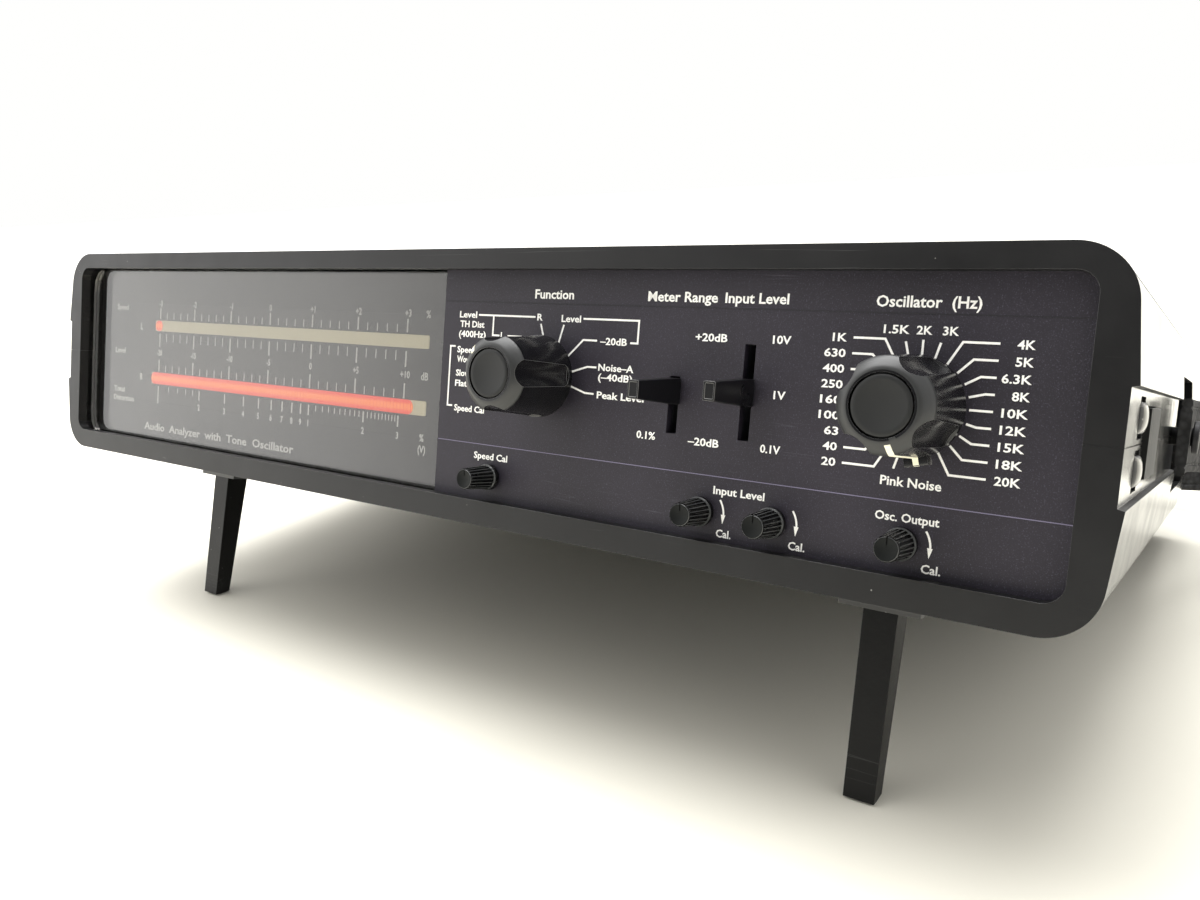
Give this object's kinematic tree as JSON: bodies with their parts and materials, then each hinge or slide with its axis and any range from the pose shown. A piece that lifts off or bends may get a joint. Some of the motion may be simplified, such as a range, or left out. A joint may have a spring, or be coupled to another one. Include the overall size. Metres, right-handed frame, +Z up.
{
  "type": "bench audio analyser",
  "caption": "Low black bench audio analyser with a two-row bar-graph window, rotary and slide switches, tone oscillator knob, fold-out front legs and a carrying strap.",
  "frame": {"origin": "on the bench surface, under the middle of the object's outline, with the front legs unfolded", "axes": "+Z up from the bench, +X to the right along the front, -Y the way the controls face; the case leans back on its legs"},
  "size_m": [0.3344, 0.2588, 0.1084],
  "materials": {
    "case_plastic": "satin moulded, fine texture",
    "panel_paint": "fine textured paint",
    "smoked_acrylic": "polished, smoked",
    "display_glass": "polished",
    "circuit_board": "varnished",
    "knob_plastic": "polished",
    "cap_plastic": "matt",
    "steel": "bright zinc plated",
    "brass": "turned",
    "switch_body": "moulded",
    "rear_plate": "satin black",
    "strap_vinyl": "textured vinyl",
    "foot_rubber": "matt",
    "transformer_iron": "varnished laminations"
  },
  "bodies": {
    "case": {"case_top": "case_plastic", "case_bottom": "case_plastic", "leg_bracket_left": "case_plastic", "leg_bracket_right": "case_plastic", "front_panel": "panel_paint", "display_window": "smoked_acrylic", "bar_graph_tube": "display_glass", "display_board": "circuit_board", "main_board": "circuit_board", "mains_inlet": "cap_plastic", "power_switch": "cap_plastic", "fuse_holder": "cap_plastic", "smoothing_capacitor": "cap_plastic", "latch_plate_left": "steel", "latch_plate_right": "steel", "case_screw_front_left": "steel", "case_screw_front_right": "steel", "case_screw_rear_left": "steel", "case_screw_rear_right": "steel", "leg_pin_left": "steel", "leg_pin_right": "steel", "strap_pivot_left": "steel", "strap_pivot_right": "steel", "input_jack_left": "brass", "input_jack_right": "brass", "output_jack_left": "brass", "output_jack_right": "brass", "function_switch": "switch_body", "oscillator_switch": "switch_body", "meter_range_switch": "switch_body", "input_level_switch": "switch_body", "speed_cal_pot": "switch_body", "input_left_pot": "switch_body", "input_right_pot": "switch_body", "osc_output_pot": "switch_body", "rear_panel": "rear_plate", "rear_foot_left": "foot_rubber", "rear_foot_right": "foot_rubber", "power_transformer": "transformer_iron"},
    "function_dial": {"function_knob": "knob_plastic", "function_knob_cap": "cap_plastic", "function_shaft": "brass"},
    "oscillator_dial": {"oscillator_knob": "knob_plastic", "oscillator_knob_cap": "cap_plastic", "oscillator_shaft": "brass"},
    "meter_range_slider": {"meter_range_lever": "knob_plastic"},
    "input_level_slider": {"input_level_lever": "knob_plastic"},
    "leg_left_body": {"leg_left": "case_plastic"},
    "leg_right_body": {"leg_right": "case_plastic"},
    "strap": {"carry_strap": "strap_vinyl"},
    "rocker": {"power_rocker": "knob_plastic"},
    "fuse_cap_body": {"fuse_cap": "cap_plastic"},
    "speed_cal_trimmer": {"speed_cal_knob": "knob_plastic", "speed_cal_shaft": "brass"},
    "input_left_trimmer": {"input_left_knob": "knob_plastic", "input_left_shaft": "brass"},
    "input_right_trimmer": {"input_right_knob": "knob_plastic", "input_right_shaft": "brass"},
    "osc_output_trimmer": {"osc_output_knob": "knob_plastic", "osc_output_shaft": "brass"}
  },
  "joints": [
    {"name": "function_turn", "type": "hinge", "parent": "case", "child": "function_dial", "pos_m": [0.0404, -0.12043, 0.08437], "axis": [0, 0.9754, -0.2205], "range_deg": [-90, 150]},
    {"name": "oscillator_turn", "type": "hinge", "parent": "case", "child": "oscillator_dial", "pos_m": [0.1171, -0.12043, 0.08437], "axis": [0, 0.9754, -0.2205], "range_deg": [-330, 0]},
    {"name": "speed_cal_turn", "type": "hinge", "parent": "case", "child": "speed_cal_trimmer", "pos_m": [0.0264, -0.11964, 0.06066], "axis": [0, 0.9754, -0.2205], "range_deg": [-300, 0]},
    {"name": "input_left_turn", "type": "hinge", "parent": "case", "child": "input_left_trimmer", "pos_m": [0.079, -0.11964, 0.06066], "axis": [0, 0.9754, -0.2205], "range_deg": [-300, 0]},
    {"name": "input_right_turn", "type": "hinge", "parent": "case", "child": "input_right_trimmer", "pos_m": [0.0935, -0.11964, 0.06066], "axis": [0, 0.9754, -0.2205], "range_deg": [-300, 0]},
    {"name": "osc_output_turn", "type": "hinge", "parent": "case", "child": "osc_output_trimmer", "pos_m": [0.1169, -0.11964, 0.06066], "axis": [0, 0.9754, -0.2205], "range_deg": [-300, 0]},
    {"name": "meter_range_slide", "type": "slide", "parent": "case", "child": "meter_range_slider", "axis": [0, 0.2205, 0.9754], "range_m": [-0.0054, 0]},
    {"name": "input_level_slide", "type": "slide", "parent": "case", "child": "input_level_slider", "axis": [0, 0.2205, 0.9754], "range_m": [-0.0062, 0.0062]},
    {"name": "leg_left_fold", "type": "hinge", "parent": "case", "child": "leg_left_body", "pos_m": [-0.1072, -0.09035, 0.03784], "axis": [1, 0, 0], "range_deg": [0, 94]},
    {"name": "leg_right_fold", "type": "hinge", "parent": "case", "child": "leg_right_body", "pos_m": [0.1072, -0.09035, 0.03784], "axis": [1, 0, 0], "range_deg": [0, 94]},
    {"name": "strap_swing", "type": "hinge", "parent": "case", "child": "strap", "pos_m": [0, -0.00027, 0.05357], "axis": [1, 0, 0], "range_deg": [0, 165]},
    {"name": "rocker_tip", "type": "hinge", "parent": "case", "child": "rocker", "pos_m": [-0.06, 0.0801, 0.0354], "axis": [1, 0, 0], "range_deg": [0, 22]},
    {"name": "fuse_cap_turn", "type": "hinge", "parent": "case", "child": "fuse_cap_body", "pos_m": [-0.034, 0.08654, 0.03394], "axis": [0, 0.9754, -0.2205], "range_deg": [0, 90]}
  ]
}
